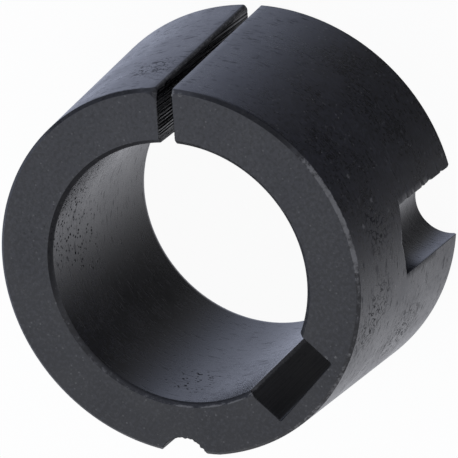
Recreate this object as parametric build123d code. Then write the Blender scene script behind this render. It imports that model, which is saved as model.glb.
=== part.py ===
from build123d import *
from math import radians, tan
import os

# Taper bush: a split tapered sleeve. Screws in its half-holes draw it into a hub's taper, so that it grips the shaft.
# Millimetres and degrees. Z is the axis of the bush: its large end lies on Z = 0, and its small end faces up.
# Angles go anticlockwise round Z from +X, seen from the small end.

# Body
bush_length = 22.3
large_end_dia = 38.4  # where the taper's line meets the large end's face
taper_included_angle = 8.0
bore_dia = 25.0
outer_rim_chamfer = 0.3
bore_rim_chamfer = 0.4

# Keyway, broached through the full length of the bore
keyway_angle = 90.0
keyway_width = 8.0
keyway_depth = 3.3  # from the wall of the bore to the floor of the keyway, on its centre line
keyway_corner_radius = 0.2

# Split, sawn through the wall from end to end
split_angle = 221.3
split_width = 1.5

# Screw holes: their axes stand parallel to Z on one circle, near the tapered face, so only half of each is in the bush
screw_circle_dia = 36.9

# Plain half-holes, blind: they open at the large end, and the clamping screws push on their floors
first_plain_hole_angle = 134.4
second_plain_hole_angle = first_plain_hole_angle + 180.0
plain_hole_dia = 6.7
plain_hole_depth = 11.8  # to the foot of the straight wall
plain_hole_tip_angle = 150.0

# Half-hole for the screw that backs the bush out of the hub: tapped through, drawn at the bore of its thread
jacking_hole_angle = 39.3
jacking_hole_dia = 4.75

# How far each cutter runs past the faces that it opens
overrun = 1.0


def placed(cutter, angle):
    """A cutter drawn on the +X side of the axis, turned to its own angle round the bush."""
    return Rot(0, 0, angle) * cutter


def tapered_sleeve():
    """The turned blank: the taper outside, the bore inside, and a chamfer on all four rims."""
    slope = tan(radians(taper_included_angle / 2))
    bore_radius = bore_dia / 2
    large_radius = large_end_dia / 2
    small_radius = large_radius - bush_length * slope
    drop = outer_rim_chamfer * slope  # how much the taper closes in over a chamfer's height
    section = Polyline(
        (bore_radius + bore_rim_chamfer, 0),
        (large_radius - outer_rim_chamfer, 0),
        (large_radius - drop, outer_rim_chamfer),
        (small_radius + drop, bush_length - outer_rim_chamfer),
        (small_radius - outer_rim_chamfer, bush_length),
        (bore_radius + bore_rim_chamfer, bush_length),
        (bore_radius, bush_length - bore_rim_chamfer),
        (bore_radius, bore_rim_chamfer),
        close=True,
    )
    return revolve(Plane.XZ * make_face(section), Axis.Z)


def through_cut(outline):
    """A flat outline run from below the large end to above the small end."""
    return extrude(Pos(0, 0, -overrun) * outline, amount=bush_length + 2 * overrun)


def keyway_cut():
    """From the axis out to the keyway's floor, with a small radius in both corners of the floor."""
    floor_at = bore_dia / 2 + keyway_depth
    outline = Pos(floor_at / 2, 0) * Rectangle(floor_at, keyway_width)
    floor_corners = outline.vertices().group_by(Axis.X)[-1]
    return placed(through_cut(fillet(floor_corners, keyway_corner_radius)), keyway_angle)


def split_cut():
    """From the axis out through the wall, with parallel sides."""
    reach = large_end_dia / 2 + overrun
    return placed(through_cut(Pos(reach / 2, 0) * Rectangle(reach, split_width)), split_angle)


def plain_hole_cut(angle):
    """A drilled blind hole that opens at the large end and closes in a shallow cone."""
    radius = plain_hole_dia / 2
    tip_height = radius / tan(radians(plain_hole_tip_angle / 2))
    section = Polyline(
        (0, -overrun),
        (radius, -overrun),
        (radius, plain_hole_depth),
        (0, plain_hole_depth + tip_height),
        close=True,
    )
    drill = revolve(Plane.XZ * make_face(section), Axis.Z)
    return placed(Pos(screw_circle_dia / 2, 0, 0) * drill, angle)


def jacking_hole_cut():
    """A straight hole from end to end, which runs out through the taper towards the small end."""
    return placed(through_cut(Pos(screw_circle_dia / 2, 0) * Circle(jacking_hole_dia / 2)), jacking_hole_angle)


def taper_bush():
    bush = tapered_sleeve() - keyway_cut() - split_cut()
    bush -= plain_hole_cut(first_plain_hole_angle)
    bush -= plain_hole_cut(second_plain_hole_angle)
    return bush - jacking_hole_cut()


os.makedirs("parts", exist_ok=True)
export_step(taper_bush(), "parts/taper_bush.step")
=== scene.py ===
from math import acos, asin, atan2, cos, pi, radians, sin, sqrt, tan

import bmesh
import bpy
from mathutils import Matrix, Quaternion, Vector, noise


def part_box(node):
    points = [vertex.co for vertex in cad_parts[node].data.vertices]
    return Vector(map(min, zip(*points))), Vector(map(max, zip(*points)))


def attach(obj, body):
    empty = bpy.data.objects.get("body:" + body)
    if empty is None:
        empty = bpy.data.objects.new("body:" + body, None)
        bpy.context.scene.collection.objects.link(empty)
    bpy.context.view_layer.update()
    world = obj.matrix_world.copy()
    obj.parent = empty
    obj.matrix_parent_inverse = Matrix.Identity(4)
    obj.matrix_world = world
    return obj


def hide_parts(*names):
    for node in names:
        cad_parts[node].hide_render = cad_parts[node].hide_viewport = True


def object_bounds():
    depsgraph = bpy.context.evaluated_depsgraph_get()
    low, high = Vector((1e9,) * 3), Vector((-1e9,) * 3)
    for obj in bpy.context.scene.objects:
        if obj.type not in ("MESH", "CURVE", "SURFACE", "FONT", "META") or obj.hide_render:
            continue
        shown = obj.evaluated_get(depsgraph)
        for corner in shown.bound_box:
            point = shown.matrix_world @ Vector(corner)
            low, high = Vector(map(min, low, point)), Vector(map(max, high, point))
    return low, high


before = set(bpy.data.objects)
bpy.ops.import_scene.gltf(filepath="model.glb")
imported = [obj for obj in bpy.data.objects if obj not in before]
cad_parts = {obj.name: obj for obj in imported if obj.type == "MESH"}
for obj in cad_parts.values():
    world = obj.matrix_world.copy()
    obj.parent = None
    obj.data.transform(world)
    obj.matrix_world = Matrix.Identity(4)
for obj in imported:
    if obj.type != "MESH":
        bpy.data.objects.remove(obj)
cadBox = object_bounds()
bushLow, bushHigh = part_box("taper_bush")
middle = (cadBox[0] + cadBox[1]) / 2
print("frame loaded")

mm = 0.001  # the bush is drawn in millimetres, and scaled to metres at the end


# shader maths: a Wire is one socket, and a Tree adds nodes

class Wire:
    def __init__(self, tree, socket):
        self.tree = tree
        self.socket = socket

    def maths(self, operation, first, second):
        return self.tree.node("ShaderNodeMath", {"operation": operation}, {0: first, 1: second})

    def __add__(self, other):
        return self.maths("ADD", self, other)

    def __radd__(self, other):
        return self.maths("ADD", other, self)

    def __sub__(self, other):
        return self.maths("SUBTRACT", self, other)

    def __rsub__(self, other):
        return self.maths("SUBTRACT", other, self)

    def __mul__(self, other):
        return self.maths("MULTIPLY", self, other)

    def __rmul__(self, other):
        return self.maths("MULTIPLY", other, self)


class Tree:
    def __init__(self, owner):
        owner.use_nodes = True
        self.nodes = owner.node_tree.nodes
        self.links = owner.node_tree.links
        self.nodes.clear()

    def node(self, kind, settings, inputs, output=0):
        made = self.nodes.new(kind)
        for key, value in settings.items():
            setattr(made, key, value)
        for key, value in inputs.items():
            if isinstance(value, Wire):
                self.links.new(value.socket, made.inputs[key])
            else:
                made.inputs[key].default_value = value
        return Wire(self, made.outputs[output]) if made.outputs else made

    def blend(self, factor, first, second):
        inputs = {0: factor, 6: first, 7: second}
        return self.node("ShaderNodeMix", {"data_type": "RGBA"}, inputs, output=2)

    def vectorMaths(self, operation, first, second):
        inputs = {0: first, 1: second}
        return self.node("ShaderNodeVectorMath", {"operation": operation}, inputs, output="Value")

    def ease(self, value, low, high):
        inputs = {"Value": value, "From Min": low, "From Max": high}
        return self.node("ShaderNodeMapRange", {"interpolation_type": "SMOOTHSTEP"}, inputs)

    def grain(self, place, kind):
        scale, detail, roughness = grains[kind]
        inputs = {"Vector": place, "Scale": scale, "Detail": detail, "Roughness": roughness}
        return self.node("ShaderNodeTexNoise", {}, inputs)

    def cells(self, place, scale):
        return self.node("ShaderNodeTexVoronoi", {"feature": "F1"}, {"Vector": place, "Scale": scale})

    def stretch(self, place, scale):
        return self.node("ShaderNodeMapping", {}, {"Vector": place, "Scale": scale})


# finishes of the iron

iron = {
    "dark": (0.0005, 0.0006, 0.0014),
    "pale": (0.0132, 0.0134, 0.0156),
    "bright": (0.132, 0.13, 0.129),
    "pit": (0.003, 0.003, 0.0036),
    "relief": 0.016 * mm,
    "paintedLightCentre": (-13, -11, 22),  # painted light beside the split, and painted shade darker away from it
    "darkening": 0.024,
    "darkeningFrom": 16,
    "pitDensity": 2.2,
    "pitSize": (0.12, 0.29),
    "speckDensity": 1.7,
    "speckSize": (0.08, 0.2),
    "scratchWidth": (0.01, 0.05),
}

grains = {  # scale, detail and roughness of each noise
    "mottle": (2.6, 4.0, 0.6),
    "cloud": (0.22, 2.0, 0.5),
    "fine": (9.0, 2.0, 0.5),
    "lines": (1.0, 4.0, 0.62),  # this one and the next are drawn out by the lay
    "marks": (1.0, 3.0, 0.6),
    "pitting": (0.35, 2.0, 0.5),
    "pitShape": (0.9, 2.0, 0.5),
    "scratches": (1.5, 1.0, 0.5),
    "specks": (0.8, 2.0, 0.5),
    "dust": (3.4, 2.0, 0.5),
}

lays = {  # how tool lines and marks are drawn out
    "round": dict(lines=(0.12, 0.12, 7.0), marks=(0.8, 0.8, 3.6)),  # round Z, by turning and drilling
    "along": dict(lines=(9.0, 9.0, 0.06), marks=(3.6, 3.6, 0.6)),  # along Z, by broaching and sawing
    "even": dict(lines=(1.0, 1.0, 1.0), marks=(2.2, 2.2, 2.2)),
}

finishes = {
    "faced": dict(lay="even", rough=0.65, ior=1.46, shade=1.3, coarse=1.0, pits=0.4, specks=0.36,
                  mottled=5.0, dusted=0.1),
    "rim": dict(lay="even", rough=0.55, ior=1.46, shade=1.2, coarse=1.0, pits=0.2, specks=0.5,
                mottled=5.0, dusted=0.1),
    "turned": dict(lay="round", rough=0.3, ior=1.5, shade=0.9, coarse=0.35, pits=0.15, specks=0.45,
                   lines=0.45, marks=0.6, tint=(0.94, 1.0, 1.4)),
    "bored": dict(lay="round", rough=0.25, ior=1.48, shade=0.3, coarse=0.12, pits=1.0, specks=0.1,
                  lines=0.2, marks=0.4, tint=(0.7, 0.9, 2.6)),
    "edge": dict(lay="even", rough=0.45, ior=1.5, shade=1.0, coarse=1.0, pits=0.2, specks=0.8),
    "sawn": dict(lay="along", rough=0.3, ior=1.6, shade=0.6, coarse=0.5, pits=0.2, specks=0.3,
                 lines=1.0, marks=0.4, grooves=0.85),
    "broached": dict(lay="along", rough=0.4, ior=1.35, shade=0.5, coarse=0.3, pits=0.1, specks=0.1,
                     lines=0.6, marks=0.2, grooves=0.2),
    "drilled": dict(lay="round", rough=0.25, ior=1.5, shade=0.8, coarse=0.4, pits=0.2, specks=0.2,
                    lines=0.8, marks=0.4, grooves=0.05, holeFloorShade=1.0),
    "tapped": dict(lay="round", rough=0.5, ior=1.3, shade=0.8, coarse=0.5, pits=0.2, specks=0.2,
                   lines=0.7, marks=0.3, grooves=0.2),
}

blemishes = {  # angle round Z, distance from Z, height, and how far each spreads
    "pitted": [(280, 12.5, 18.5, 5), (296, 12.5, 19.5, 6), (311, 12.5, 15, 5), (34, 12.5, 17, 3.5),
               (234, 18, 15, 4)],
    "scratched": [(144, 18, 17, 3.4), (114, 17.8, 20, 3.4), (122, 18, 17.5, 3.6), (102, 18.6, 9, 5),
                  (232, 18.1, 16.5, 3.4)],
    # painted shade where the plain holes' floors meet their walls
    "shadedHoleFloors": [(126, 17.2, 11.9, 5.4), (306, 17.2, 11.9, 5.4)],
    "nicked": [(148.5, 19.1, 1, 0.3), (161.5, 17.9, 18, 0.3), (151.5, 18.1, 16.3, 0.35),
               (147, 17.9, 19.3, 0.3), (146, 18.2, 14, 0.3), (137.5, 18.3, 12.5, 0.35),
               (105, 15.6, 22.3, 0.3), (107, 16.4, 22.3, 0.2), (216, 17.3, 22.3, 0.3),
               (223, 16.6, 22.2, 0.3), (223, 16.1, 22.3, 0.25), (224.5, 17.1, 22.1, 0.3),
               (223, 17.2, 21.8, 0.3)],
}


def blemished(tree, place, kind):  # 1 in the middle of each patch
    total = 0
    for angle, radius, height, spread in blemishes[kind]:
        spot = (radius * cos(radians(angle)), radius * sin(radians(angle)), height)
        away = tree.vectorMaths("DISTANCE", place, spot)
        total = total + (1 - tree.ease(away, 0.3 * spread, spread))
    return total


def blackenedIron(name, lay, rough, ior, shade, coarse, pits, specks, lines=0.0, marks=0.0,
                  grooves=0.0, mottled=2.4, dusted=0.0, holeFloorShade=0.0, tint=(1, 1, 1)):
    material = bpy.data.materials.new("blackened_iron_" + name)
    tree = Tree(material)
    place = tree.node("ShaderNodeTexCoord", {}, {}, output="Object")
    place = tree.node("ShaderNodeVectorMath", {"operation": "SCALE"}, {0: place, "Scale": 1 / mm})
    mottle = tree.grain(place, "mottle")
    cloud = tree.grain(place, "cloud")
    fine = tree.grain(place, "fine")
    drawn = tree.grain(tree.stretch(place, lays[lay]["lines"]), "lines")
    streak = tree.grain(tree.stretch(place, lays[lay]["marks"]), "marks")
    mark = tree.ease(streak, 0.56, 0.7) * marks
    pitted = tree.ease(tree.grain(place, "pitting"), 0.66, 0.85)
    pitted = (pitted + blemished(tree, place, "pitted")) * pits
    reach = tree.cells(place, iron["pitDensity"]) + 0.5 * (tree.grain(place, "pitShape") - 0.5)
    pit = (1 - tree.ease(reach, *iron["pitSize"])) * pitted
    contour = tree.grain(place, "scratches") - 0.5
    contour = tree.node("ShaderNodeMath", {"operation": "ABSOLUTE"}, {0: contour})
    scratch = 1 - tree.ease(contour, *iron["scratchWidth"])
    scratch = scratch * blemished(tree, place, "scratched") * marks
    specked = tree.ease(tree.grain(place, "specks"), 0.4, 0.6) * specks
    speck = (1 - tree.ease(tree.cells(place, iron["speckDensity"]), *iron["speckSize"])) * specked
    speck = speck + 0.7 * blemished(tree, place, "nicked") * tree.ease(fine, 0.35, 0.6)
    # the worn attribute: edge wear, plus painted highlights above none and painted shade below none
    rubbed = tree.node("ShaderNodeAttribute", {"attribute_name": "worn"}, {}, output="Fac")
    worn = tree.ease(rubbed + 0.9 * (mottle + 0.6 * fine - 0.8), 0.35, 0.75)
    dust = tree.ease(tree.grain(place, "dust"), 0.52, 0.72) * dusted

    tones = {}
    for key in ("dark", "pale", "pit"):
        tones[key] = tuple(shade * level * part for level, part in zip(iron[key], tint)) + (1,)
    # painted light and shade: the tone is paler near the split at the small end and darker away from
    # it
    away = tree.vectorMaths("DISTANCE", place, iron["paintedLightCentre"])
    tone = 0.5 + mottled * (mottle - 0.5) + 0.8 * (cloud - 0.5) + 0.8 * lines * (drawn - 0.5)
    tone = tone + iron["darkening"] * (iron["darkeningFrom"] - away)
    colour = tree.blend(tone, tones["dark"], tones["pale"])
    # brightened towards bare metal by edge wear and by painted highlights
    wearAndPaintedHighlight = worn * (0.1 + 1.5 * mottle)
    colour = tree.blend(speck + wearAndPaintedHighlight + dust, colour, iron["bright"] + (1,))
    roughness = rough + 0.2 * (mottle - 0.5) + 0.2 * (cloud - 0.5) + 0.2 * lines * (drawn - 0.5)
    roughness = roughness + 0.35 * mark
    height = coarse * (mottle + 0.5 * fine) + 0.6 * lines * drawn
    height = height - 1.6 * pit - 0.5 * mark - 0.6 * scratch
    bump = {"Strength": 1.0, "Distance": iron["relief"], "Height": height}
    bump = tree.node("ShaderNodeBump", {}, bump)
    clean = tree.node("ShaderNodeBsdfPrincipled", {}, {
        "Base Color": colour,
        "Roughness": roughness,
        "IOR": ior,
        "Normal": bump,
    })
    dull = tree.node("ShaderNodeBsdfDiffuse", {}, {"Color": tones["pit"]})
    # mixed towards a dull dark diffuse by pits, marks, scratches and grooves, and by painted shade
    # where worn is below none
    dullingAndPaintedShade = 0.9 * pit + 0.35 * mark + 1.1 * scratch + mottle * tree.ease(0 - rubbed, 0.1, 0.9)
    dullingAndPaintedShade = dullingAndPaintedShade + grooves * (1 - tree.ease(drawn, 0.42, 0.56))
    # painted shade in the corners of the plain holes' floors, for the drilled finish
    dullingAndPaintedShade = dullingAndPaintedShade + 0.8 * holeFloorShade * blemished(tree, place, "shadedHoleFloors")
    surface = tree.node("ShaderNodeMixShader", {}, {0: dullingAndPaintedShade, 1: clean, 2: dull})
    tree.node("ShaderNodeOutputMaterial", {}, {"Surface": surface})
    return material


zones = list(finishes)
ironMaterials = [blackenedIron(name, **look) for name, look in finishes.items()]
print("finishes made:", len(ironMaterials))


# the bush: one closed section for each height, bridged from the large end to the small end

bush = {
    "length": (bushHigh.z - bushLow.z) / mm,
    "rimRadius": min(bushHigh.x, bushHigh.y) / mm,  # just above the large end's chamfer
    "taperSlope": tan(radians(4)),
    "boreRadius": 12.5,
    "outerChamfer": 0.3,
    "boreChamfer": 0.4,
    "rubbedLip": 1.0,  # height of the worn lip at the bore's far end
    "ease": 0.06,  # edge break of the cut-outs at both end faces
    "edge": 0.07,  # edge break of the cut-outs along the bush
    "edgeSteps": 2,
    "outerStep": radians(2.3),
    "boreStep": radians(3.0),
    "rowStep": 0.152,
    "slack": 0.005,  # heights nearer than this count as the same
    "sharpAngle": radians(32),  # edges that turn less look round
}
split = {
    "angle": radians(221.3),
    "halfWidth": 0.75,
    "softEdge": 0.3,  # worn round on one side, all along the bush
    "flares": (0.75, 0.25),  # further wear of the two outer corners at the small end
    "flareHeight": 0.45,
    "softSteps": 3,
    "wallSteps": 56,
    "sawDepth": 0.022,
    "sawPitch": 0.31,
}
keyway = {
    "angle": radians(90),
    "halfWidth": 4.0,
    "depth": 3.3,
    "cornerRadius": 0.2,
    "cornerSteps": 3,
    "wallSteps": 8,
    "floorSteps": 12,
}
plainHole = {
    "angles": (radians(134.4), radians(314.4)),
    "axisRadius": 18.45,
    "radius": 3.35,
    "depth": 11.8,
    "tipSlope": tan(radians(75)),
    "steps": 50,
    "floorRows": 11,
    "edges": (0.042, 0.06),  # edge breaks on its two sides
    "tornDepth": 0.34,  # of the second edge, along the taper
    "leadIn": 0.8,  # how far up that edge is rounded at the large end, and how much
    "leadDepth": 0.4,
    "halfSpread": radians(9.6),
    "regrow": 2.6,  # height over which the section above the floor evens out again
}
jackingHole = {
    "angle": radians(39.3),
    "axisRadius": 18.45,
    "minorRadius": 2.375,
    "majorRadius": 3.1,
    "pitch": 1.27,
    "phase": 0.06,
    "flankStart": 0.34,  # of a thread's turn, from the middle of the groove
    "flankWidth": 0.27,
    "tornTowards": radians(218),
    "tornHeight": 1.4,
    "tornDepth": 0.24,
    "rubbedFrom": radians(236),
    "rubbedOver": radians(14),
    "rubDepth": 0.09,
    "dentSpan": (0.05, 0.19),  # of the small end's rim, in radians past the middle of the hole
    "dentFade": 0.07,
    "dentDepth": 0.25,
    "dentHeight": 0.8,
    "steps": 48,
}
largeRadius = bush["rimRadius"] + bush["outerChamfer"] * bush["taperSlope"]
floorApex = plainHole["radius"] + plainHole["depth"] * plainHole["tipSlope"] + largeRadius
floorApex -= plainHole["axisRadius"]
floorApex /= plainHole["tipSlope"] + bush["taperSlope"]  # height where the floor leaves the taper


def polar(radius, angle):
    return Vector((radius * cos(angle), radius * sin(angle)))


def beside(angle, reach, offset):  # a point off a line drawn from the axis at that angle
    return polar(reach, angle) + polar(offset, angle + pi / 2)


def beyond(size, z):  # how much of an end edge of that size is left at height z
    return max(0, size - min(z, bush["length"] - z))


def outerRadius(z):
    return largeRadius - z * bush["taperSlope"] - beyond(bush["outerChamfer"], z)


def innerRadius(z):
    rubbed = min(bush["boreChamfer"], 0.45 * max(0, bush["rubbedLip"] - z) ** 2)  # at the large end
    return bush["boreRadius"] + max(beyond(bush["boreChamfer"], z), rubbed)


def easeAt(z):
    return beyond(bush["ease"], z)


class Section:  # a closed outline at height z, drawn anticlockwise seen from the small end
    def __init__(self, z, start):
        self.z = z
        self.zones = []
        self.bm = bmesh.new()
        self.points = [bmesh.ops.create_vert(self.bm, co=start.to_3d())["vert"][0]]

    def tip(self):
        return self.points[-1].co.xy

    def arc(self, zone, steps, centre, angle, step=(0, 0)):
        bmesh.ops.spin(self.bm, geom=[self.points[-1]], cent=(*centre, 0), axis=(0, 0, 1),
                       dvec=(*step, 0), angle=angle, steps=steps, use_duplicate=False, use_merge=False)
        self.bm.verts.ensure_lookup_table()
        self.points += self.bm.verts[-steps:]
        self.zones += [zone] * steps

    def line(self, zone, steps, end):
        self.arc(zone, steps, (0, 0), 0, (end - self.tip()) / steps)

    def corner(self, zone, steps, peak, end):  # a round to end, instead of the sharp corner at peak
        centre = self.tip() + end - peak
        self.arc(zone, steps, centre, (end - centre).angle_signed(self.tip() - centre))
        self.points[-1].co.xy = end

    def around(self, zone, steps, end, way):  # along a circle round Z: 1 anticlockwise, -1 clockwise
        here = atan2(self.tip().y, self.tip().x)
        self.arc(zone, steps, (0, 0), way * ((way * (end - here)) % (2 * pi)))

    def close(self, zone):
        self.bm.edges.new((self.points[-1], self.points[0]))
        self.zones.append(zone)

    def addTo(self, whole):
        row = bpy.data.meshes.new("row")
        self.bm.to_mesh(row)
        self.bm.free()
        whole.from_mesh(row)
        bpy.data.meshes.remove(row)


# where a hole's wall meets the taper: its radius there, the angle round the hole and round Z
def crossing(hole, outer, side, radiusAt):
    reach = hole["axisRadius"]
    around = pi / 2
    for attempt in range(5):
        radius = radiusAt(hole["angle"] + side * around)
        turn = acos((outer ** 2 + reach ** 2 - radius ** 2) / (2 * outer * reach))
        around = atan2(outer * sin(turn), outer * cos(turn) - reach)
    return radius, around, turn


def halfHole(section, hole, zone, before, outer, edges, radiusAt):
    axis = polar(hole["axisRadius"], hole["angle"])
    lowRadius, lowAround, lowTurn = crossing(hole, outer, -1, radiusAt)
    highRadius, highAround, highTurn = crossing(hole, outer, 1, radiusAt)
    section.around("turned", before, hole["angle"] - lowTurn - edges[0] / outer, 1)
    first = hole["angle"] - lowAround - edges[0] / lowRadius
    last = hole["angle"] + highAround + edges[1] / highRadius - 2 * pi
    peak = polar(outer, hole["angle"] - lowTurn)
    section.corner("edge", bush["edgeSteps"], peak, axis + polar(lowRadius, first))
    section.arc(zone, hole["steps"], axis, last - first)
    for point in section.points[-hole["steps"]:]:
        spoke = point.co.xy - axis
        spoke.length = radiusAt(atan2(spoke.y, spoke.x))
        point.co.xy = axis + spoke
    peak = polar(outer, hole["angle"] + highTurn)
    leave = hole["angle"] + highTurn + edges[1] / outer
    section.corner("edge", bush["edgeSteps"], peak, polar(outer, leave))


def raggedEdge(seed, z):  # torn along the taper, and rounded where it meets the large end
    tear = noise.noise(Vector((seed, 0, 1.3 * z))) + 0.8 * noise.noise(Vector((seed, 5, 2.9 * z)))
    rounded = max(0, 1 - z / plainHole["leadIn"]) ** 2
    torn = plainHole["tornDepth"] * max(0, tear)
    return plainHole["edges"][1] + torn + plainHole["leadDepth"] * rounded


def plainHalfHole(section, angle, before, outer):
    z = section.z
    hole = dict(plainHole, angle=angle)
    if z < floorApex - bush["slack"]:
        radius = hole["radius"] - max(0, z - hole["depth"]) * hole["tipSlope"] + easeAt(z)
        gap = radius - (hole["axisRadius"] - outer)
        edges = [min(0.2 * gap, edge) for edge in (hole["edges"][0], raggedEdge(angle, z))]
        halfHole(section, hole, "drilled", before, outer, edges, lambda turn: radius)
    else:
        spread = hole["halfSpread"] * min(1, 0.01 + (z - floorApex) / hole["regrow"])
        section.around("turned", before, angle - spread, 1)
        section.around("turned", hole["steps"] + 2 * bush["edgeSteps"], angle + spread, 1)


def within(value):  # kept from 0 to 1
    return min(1, max(0, value))


def threadRadius(turn, z):  # near the small end it is rubbed on one side and torn on the other
    hole = jackingHole
    turn %= 2 * pi
    below = bush["length"] - z
    rubbed = within((turn - hole["rubbedFrom"]) / hole["rubbedOver"]) * within(2.2 - below / 3)
    turns = z / hole["pitch"] - turn / (2 * pi) + hole["phase"]
    groove = (1 - rubbed) * within((hole["flankStart"] - abs(turns % 1 - 0.5)) / hole["flankWidth"])
    depth = hole["majorRadius"] - hole["minorRadius"]
    torn = max(0, 1 - below / hole["tornHeight"]) * (0.5 + 0.5 * cos(turn - hole["tornTowards"])) ** 3
    torn *= (1 - rubbed) * (0.4 + noise.noise(Vector((7 * turn, 0.9 * z, 3))))
    worn = hole["rubDepth"] * rubbed + hole["tornDepth"] * torn
    return hole["minorRadius"] + depth * groove + worn + easeAt(z)


def stepsBetween(angle, nextAngle, step):
    return round(((nextAngle - angle) % (2 * pi)) / step)


def bushSection(z):
    outer = outerRadius(z)
    inner = innerRadius(z)
    edge = bush["edge"]
    edgeSteps = bush["edgeSteps"]
    outerStep = bush["outerStep"]
    boreStep = bush["boreStep"]

    cut = split["angle"]
    gap = split["halfWidth"] + easeAt(z)
    wallOut = sqrt(outer ** 2 - gap ** 2)
    wallIn = sqrt(inner ** 2 - gap ** 2)
    gapOut = asin(gap / outer)
    gapIn = asin(gap / inner)
    nearEnd = max(0, 1 - (bush["length"] - z) / split["flareHeight"])
    soft = split["softEdge"] + split["flares"][0] * nearEnd
    broken = edge + split["flares"][1] * nearEnd
    section = Section(z, beside(cut, wallOut - soft, gap))
    leave = polar(outer, cut + gapOut + soft / outer)
    section.corner("edge", split["softSteps"], beside(cut, wallOut, gap), leave)

    lowHole, highHole = plainHole["angles"]
    tapped = jackingHole["angle"]
    plainHalfHole(section, highHole, stepsBetween(cut, highHole, outerStep), outer)
    halfHole(section, jackingHole, "tapped", stepsBetween(highHole, tapped, outerStep), outer,
             (edge, edge), lambda turn: threadRadius(turn, z))
    plainHalfHole(section, lowHole, stepsBetween(tapped, lowHole, outerStep), outer)
    section.around("turned", stepsBetween(lowHole, cut, outerStep), cut - gapOut - broken / outer, 1)

    section.corner("edge", edgeSteps, beside(cut, wallOut, -gap), beside(cut, wallOut - broken, -gap))
    section.line("sawn", split["wallSteps"], beside(cut, wallIn + edge, -gap))
    leave = polar(inner, cut - gapIn - edge / inner)
    section.corner("edge", edgeSteps, beside(cut, wallIn, -gap), leave)

    key = keyway["angle"]
    half = keyway["halfWidth"] + easeAt(z)
    mouth = sqrt(inner ** 2 - half ** 2)
    floor = bush["boreRadius"] + keyway["depth"] + easeAt(z)
    fillet = keyway["cornerRadius"]
    fillets = keyway["cornerSteps"]
    turn = asin(half / inner)
    section.around("bored", stepsBetween(key, cut, boreStep), key + turn + edge / inner, -1)
    section.corner("edge", edgeSteps, beside(key, mouth, half), beside(key, mouth + edge, half))
    section.line("broached", keyway["wallSteps"], beside(key, floor - fillet, half))
    section.corner("broached", fillets, beside(key, floor, half), beside(key, floor, half - fillet))
    section.line("broached", keyway["floorSteps"], beside(key, floor, fillet - half))
    section.corner("broached", fillets, beside(key, floor, -half), beside(key, floor - fillet, -half))
    section.line("broached", keyway["wallSteps"], beside(key, mouth + edge, -half))
    leave = polar(inner, key - turn - edge / inner)
    section.corner("edge", edgeSteps, beside(key, mouth, -half), leave)
    section.around("bored", stepsBetween(cut, key, boreStep), cut + gapIn + edge / inner, -1)

    section.corner("edge", edgeSteps, beside(cut, wallIn, gap), beside(cut, wallIn + edge, gap))
    last = (section.points[0].co.xy - section.tip()) / split["wallSteps"]
    section.line("sawn", split["wallSteps"] - 1, section.points[0].co.xy - last)
    section.close("sawn")
    return section


# painted highlights where the amount is above none, and painted shade where it is below: between two
# angles, within reach of a radius and a height
paintedLightAndShade = [
    dict(start=136, end=179, radius=17.5, height=22.15, reach=0.4, amount=0.9),  # the small end's rim
    dict(start=122, end=145, radius=17.5, height=22.15, reach=0.4, amount=0.5),
    dict(start=62, end=125, radius=17.5, height=22.1, reach=0.6, amount=0.52),
    dict(start=176, end=214, radius=17.5, height=22.15, reach=0.6, amount=-1.1),
    dict(start=227, end=266, radius=17.5, height=22.15, reach=0.6, amount=-1.3),
    dict(start=218.2, end=219.6, radius=17.1, height=22.3, reach=0.25, amount=0.9),  # beside the split
    dict(start=221.5, end=227, radius=17.2, height=22.2, reach=0.7, amount=-1.3),
    dict(start=222, end=330, radius=12.8, height=22.2, reach=0.6, amount=-1.2),  # the lip of the bore
    dict(start=36, end=44, radius=12.9, height=22.3, reach=0.2, amount=1.0),
    dict(start=48, end=57, radius=12.9, height=22.3, reach=0.2, amount=0.9),
    dict(start=60, end=67, radius=12.9, height=22.3, reach=0.2, amount=1.0),
    dict(start=325, end=90, radius=12.8, height=22.2, reach=0.45, amount=0.45),
    dict(start=330, end=88, radius=12.55, height=21.95, reach=0.2, amount=-1.1),
    dict(start=240, end=88, radius=12.55, height=0.4, reach=0.5, amount=1.1),  # the bore's far end
    dict(start=70.5, end=71.8, radius=12.5, height=11, reach=13, amount=1.2),  # a corner of the keyway
]
edgeWear = 0.42  # along every broken edge


# real wear along every broken edge, plus the painted highlights and painted shade listed above
def wearAndPaintedLightAt(point, zone):
    amount = edgeWear if zone == "edge" else 0
    for spot in paintedLightAndShade:
        span = radians((spot["end"] - spot["start"]) % 360)
        turn = (atan2(point.y, point.x) - radians(spot["start"])) % (2 * pi)
        outwards = point.xy.length - spot["radius"]
        upwards = point.z - spot["height"]
        away = sqrt(outwards ** 2 + upwards ** 2) / spot["reach"]
        if turn < span and away < 1:
            amount += spot["amount"] * (1 - away ** 2) * sqrt(sin(pi * turn / span))
    return amount


def dent(section):  # the small end's rim, rubbed down on one side of the jacking hole
    depth = jackingHole["dentDepth"]
    depth *= max(0, 1 - (bush["length"] - section.z) / jackingHole["dentHeight"])
    start, end = jackingHole["dentSpan"]
    outer = outerRadius(section.z)
    for point in section.points:
        past = atan2(point.co.y, point.co.x) - jackingHole["angle"]
        if start < past < end:
            limit = outer - depth * min(1, (end - past) / jackingHole["dentFade"])
            point.co.xy *= min(1, limit / point.co.xy.length)


def rimZone(zone, z):  # the chamfers of both ends have a finish of their own
    size = {"turned": bush["outerChamfer"], "bored": bush["boreChamfer"]}.get(zone, 0)
    chamfered = z < size + bush["slack"] or bush["length"] - z < size - bush["slack"]
    return "rim" if size and chamfered else zone


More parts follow.
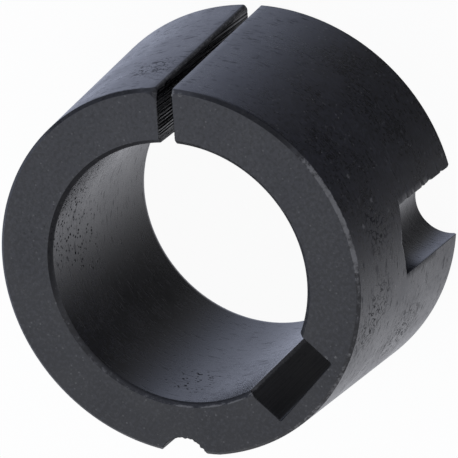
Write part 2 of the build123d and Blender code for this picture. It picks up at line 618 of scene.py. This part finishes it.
def sawMarks(section):  # ridges along Z on both walls of the split
    across = polar(1, split["angle"] + pi / 2)
    for point, zone in zip(section.points[1:], section.zones):
        if zone == "sawn":
            side = 1 if point.co.xy.dot(across) > 0 else -1
            reach = point.co.xy.length
            drift = noise.noise(Vector((0.5 * reach, 0.12 * section.z, 9 * side)))
            ridge = sin(2 * pi * reach / split["sawPitch"] + 3 * drift) * (0.7 + 1.2 * drift)
            point.co.xy += across * split["sawDepth"] * ridge


def run(start, end, count):  # evenly spaced, without the start
    return [start + (end - start) * (n + 1) / count for n in range(count)]


def rowHeights():
    length = bush["length"]
    ends = [0, bush["ease"], 0.5 * bush["outerChamfer"], bush["outerChamfer"], bush["boreChamfer"]]
    lastFloorRow = floorApex - 2 * bush["slack"]
    below = round((plainHole["depth"] - ends[-1]) / bush["rowStep"])
    above = round((length - ends[-1] - floorApex) / bush["rowStep"])
    rows = ends + run(ends[-1], plainHole["depth"], below)
    rows += run(plainHole["depth"], lastFloorRow, plainHole["floorRows"])
    rows += run(lastFloorRow, length - ends[-1], above)
    return rows + [length - height for height in reversed(ends[:-1])]


def makeBush():
    whole = bmesh.new()
    heights = rowHeights()
    zoneRows = []
    wearAndPaintedLightValues = []
    for z in heights:
        section = bushSection(z)
        sawMarks(section)
        dent(section)
        section.zones = [rimZone(zone, z) for zone in section.zones]
        zoneRows.append(section.zones)
        for point, zone in zip(section.points, section.zones):
            point.co.z = z
            wearAndPaintedLightValues.append(wearAndPaintedLightAt(point.co, zone))
        section.addTo(whole)
    columns = len(zoneRows[0])
    print("sections:", len(heights), "points each:", columns)

    zoneLayer = whole.edges.layers.int.new("zone")
    whole.edges.ensure_lookup_table()
    rows = [whole.edges[n * columns:(n + 1) * columns] for n in range(len(heights))]
    for row, zoneRow in zip(rows, zoneRows):
        for edge, zone in zip(row, zoneRow):
            edge[zoneLayer] = zones.index(zone) + 1
    caps = [bmesh.ops.contextual_create(whole, geom=row)["faces"][0] for row in (rows[0], rows[-1])]
    for lower, upper in zip(rows, rows[1:]):
        bmesh.ops.bridge_loops(whole, edges=lower + upper)
    for face in whole.faces:
        drawnEdges = [edge for edge in face.edges if edge[zoneLayer]]
        upper = max(drawnEdges, key=lambda edge: edge.verts[0].co.z)
        face.material_index = upper[zoneLayer] - 1
        face.smooth = True
    for cap in caps:
        cap.material_index = zones.index("faced")
    bmesh.ops.recalc_face_normals(whole, faces=whole.faces)
    for edge in whole.edges:
        edge.smooth = edge.calc_face_angle(0) < bush["sharpAngle"]
    for cap in caps:
        for edge in cap.edges:
            edge.smooth = False
    bmesh.ops.scale(whole, vec=(mm, mm, mm), verts=whole.verts)
    mesh = bpy.data.meshes.new("taper_bush_iron")
    whole.to_mesh(mesh)
    whole.free()
    # the worn attribute holds edge wear and the painted highlights and painted shade
    worn = mesh.attributes.new("worn", "FLOAT", "CORNER")
    cornerValues = [wearAndPaintedLightValues[loop.vertex_index] for loop in mesh.loops]
    cornerValues[:2 * columns] = [0.0] * (2 * columns)  # none on the two end faces, which come first
    worn.data.foreach_set("value", cornerValues)
    for material in ironMaterials:
        mesh.materials.append(material)
    piece = bpy.data.objects.new("taper_bush_iron", mesh)
    bpy.context.scene.collection.objects.link(piece)
    return piece


bushPiece = makeBush()
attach(bushPiece, "root")
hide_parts("taper_bush")
print("bush made:", len(bushPiece.data.polygons), "faces")


# the studio: a pale floor, two soft lights behind the bush, and an even fill

studio = {
    "floorSize": 4.0,
    "floorDrop": 0.00002,  # just clear of the large end
    "floorColour": (0.8, 0.8, 0.8, 1),
    "seenWhite": 0.95,  # how much of the floor is plain white to the camera
    "mirroredWhite": 1.0,  # and how much of it lets reflections through, to the white of the studio
    "fill": 0.62,
    "fillTint": (0.94, 0.98, 1.12, 1),
    "above": 1.0,  # the white of the studio in reflections, overhead
    "around": 0.85,  # below, all round
    "darkSide": 0.068,  # and below, on the side away from the lamps
    "darkFade": (0.06, 0.51),  # from all round to dark, by the cosine towards the dark side
    "darkTowards": (cos(radians(168)), sin(radians(168)), 0),
    "coolTowards": (cos(radians(278)), sin(radians(278)), 0),
    "cool": (0.86, 0.93, 1.18, 1),
    "plain": (0.97, 0.98, 1.05, 1),
    "lampSize": 0.8,
    "lampDistance": 1.0,
}
lamps = {
    "left_light": dict(azimuth=60, elevation=38, power=3.0, colour=(0.9, 0.95, 1.0)),
    "right_light": dict(azimuth=106, elevation=38, power=3.0, colour=(1.0, 1.0, 1.0)),
}


def viewDirection(azimuth, elevation):  # from the bush to the viewer
    turn = radians(azimuth)
    rise = radians(elevation)
    return Vector((sin(turn) * cos(rise), -cos(turn) * cos(rise), sin(rise)))


def makeFloor():
    bm = bmesh.new()
    bmesh.ops.create_grid(bm, x_segments=1, y_segments=1, size=studio["floorSize"] / 2)
    bmesh.ops.translate(bm, vec=(0, 0, -studio["floorDrop"]), verts=bm.verts)
    mesh = bpy.data.meshes.new("floor")
    bm.to_mesh(mesh)
    bm.free()
    material = bpy.data.materials.new("pale_floor")
    tree = Tree(material)
    lit = tree.node("ShaderNodeBsdfDiffuse", {}, {"Color": studio["floorColour"]})
    white = tree.node("ShaderNodeEmission", {}, {"Color": (1, 1, 1, 1), "Strength": 1.0})
    clear = tree.node("ShaderNodeBsdfTransparent", {}, {})
    seen = tree.node("ShaderNodeLightPath", {}, {}, output="Is Camera Ray")
    mirrored = tree.node("ShaderNodeLightPath", {}, {}, output="Is Glossy Ray")
    through = tree.node("ShaderNodeLightPath", {}, {}, output="Is Transmission Ray")
    surface = tree.node("ShaderNodeMixShader", {}, {0: studio["seenWhite"] * seen, 1: lit, 2: white})
    weight = studio["mirroredWhite"] * (mirrored + through)
    surface = tree.node("ShaderNodeMixShader", {}, {0: weight, 1: surface, 2: clear})
    tree.node("ShaderNodeOutputMaterial", {}, {"Surface": surface})
    mesh.materials.append(material)
    floor = bpy.data.objects.new("floor", mesh)
    bpy.context.scene.collection.objects.link(floor)


def makeLamp(name, azimuth, elevation, power, colour):
    light = bpy.data.lights.new(name, "AREA")
    light.shape = "SQUARE"
    light.size = studio["lampSize"]
    light.energy = power
    light.color = colour
    lamp = bpy.data.objects.new(name, light)
    towards = viewDirection(azimuth, elevation)
    lamp.location = middle + towards * studio["lampDistance"]
    lamp.rotation_mode = "QUATERNION"
    lamp.rotation_quaternion = towards.to_track_quat("Z", "Y")
    bpy.context.scene.collection.objects.link(lamp)


def makeFill():
    world = bpy.data.worlds.new("studio")
    bpy.context.scene.world = world
    tree = Tree(world)
    towards = tree.node("ShaderNodeTexCoord", {}, {}, output="Object")
    height = tree.vectorMaths("DOT_PRODUCT", towards, (0, 0, 1))
    below = tree.node("ShaderNodeMapRange", {}, {
        "Value": tree.vectorMaths("DOT_PRODUCT", towards, studio["darkTowards"]),
        "From Min": studio["darkFade"][0],
        "From Max": studio["darkFade"][1],
        "To Min": studio["around"],
        "To Max": studio["darkSide"],
    })
    cooled = tree.vectorMaths("DOT_PRODUCT", towards, studio["coolTowards"])
    tint = tree.blend(tree.ease(cooled, 0.05, 0.42), studio["plain"], studio["cool"])
    overhead = tree.ease(height, -0.2, 0.1)
    mirroredLevel = below + overhead * (studio["above"] - below)
    seen = tree.node("ShaderNodeLightPath", {}, {}, output="Is Camera Ray")
    mirrored = tree.node("ShaderNodeLightPath", {}, {}, output="Is Glossy Ray")
    level = studio["fill"] + seen * (1 - studio["fill"]) + mirrored * (mirroredLevel - studio["fill"])
    tint = tree.blend(mirrored, studio["fillTint"], tint)
    tint = tree.blend(seen, tint, (1, 1, 1, 1))
    background = tree.node("ShaderNodeBackground", {}, {"Color": tint, "Strength": level})
    tree.node("ShaderNodeOutputWorld", {}, {"Surface": background})


makeFloor()
for lampName, lampSettings in lamps.items():
    makeLamp(lampName, **lampSettings)
makeFill()
print("studio lit")


# the camera

view = {
    "azimuth": -97.895,
    "elevation": 60.173,
    "roll": -130.865,
    "distance": 0.36329,
    "lens": 307.23,
    "aimOffset": (-0.00088, 0.00003, 0),  # from the middle of the bush
}


def makeCamera():
    data = bpy.data.cameras.new("camera")
    data.lens = view["lens"]
    data.sensor_width = 36
    camera = bpy.data.objects.new("camera", data)
    back = viewDirection(view["azimuth"], view["elevation"])
    camera.location = middle + Vector(view["aimOffset"]) + back * view["distance"]
    camera.rotation_mode = "QUATERNION"
    roll = Quaternion((0, 0, 1), radians(view["roll"]))
    camera.rotation_quaternion = back.to_track_quat("Z", "Y") @ roll
    bpy.context.scene.collection.objects.link(camera)
    bpy.context.scene.camera = camera


makeCamera()
bpy.context.scene.view_settings.view_transform = "Standard"
print("camera set")
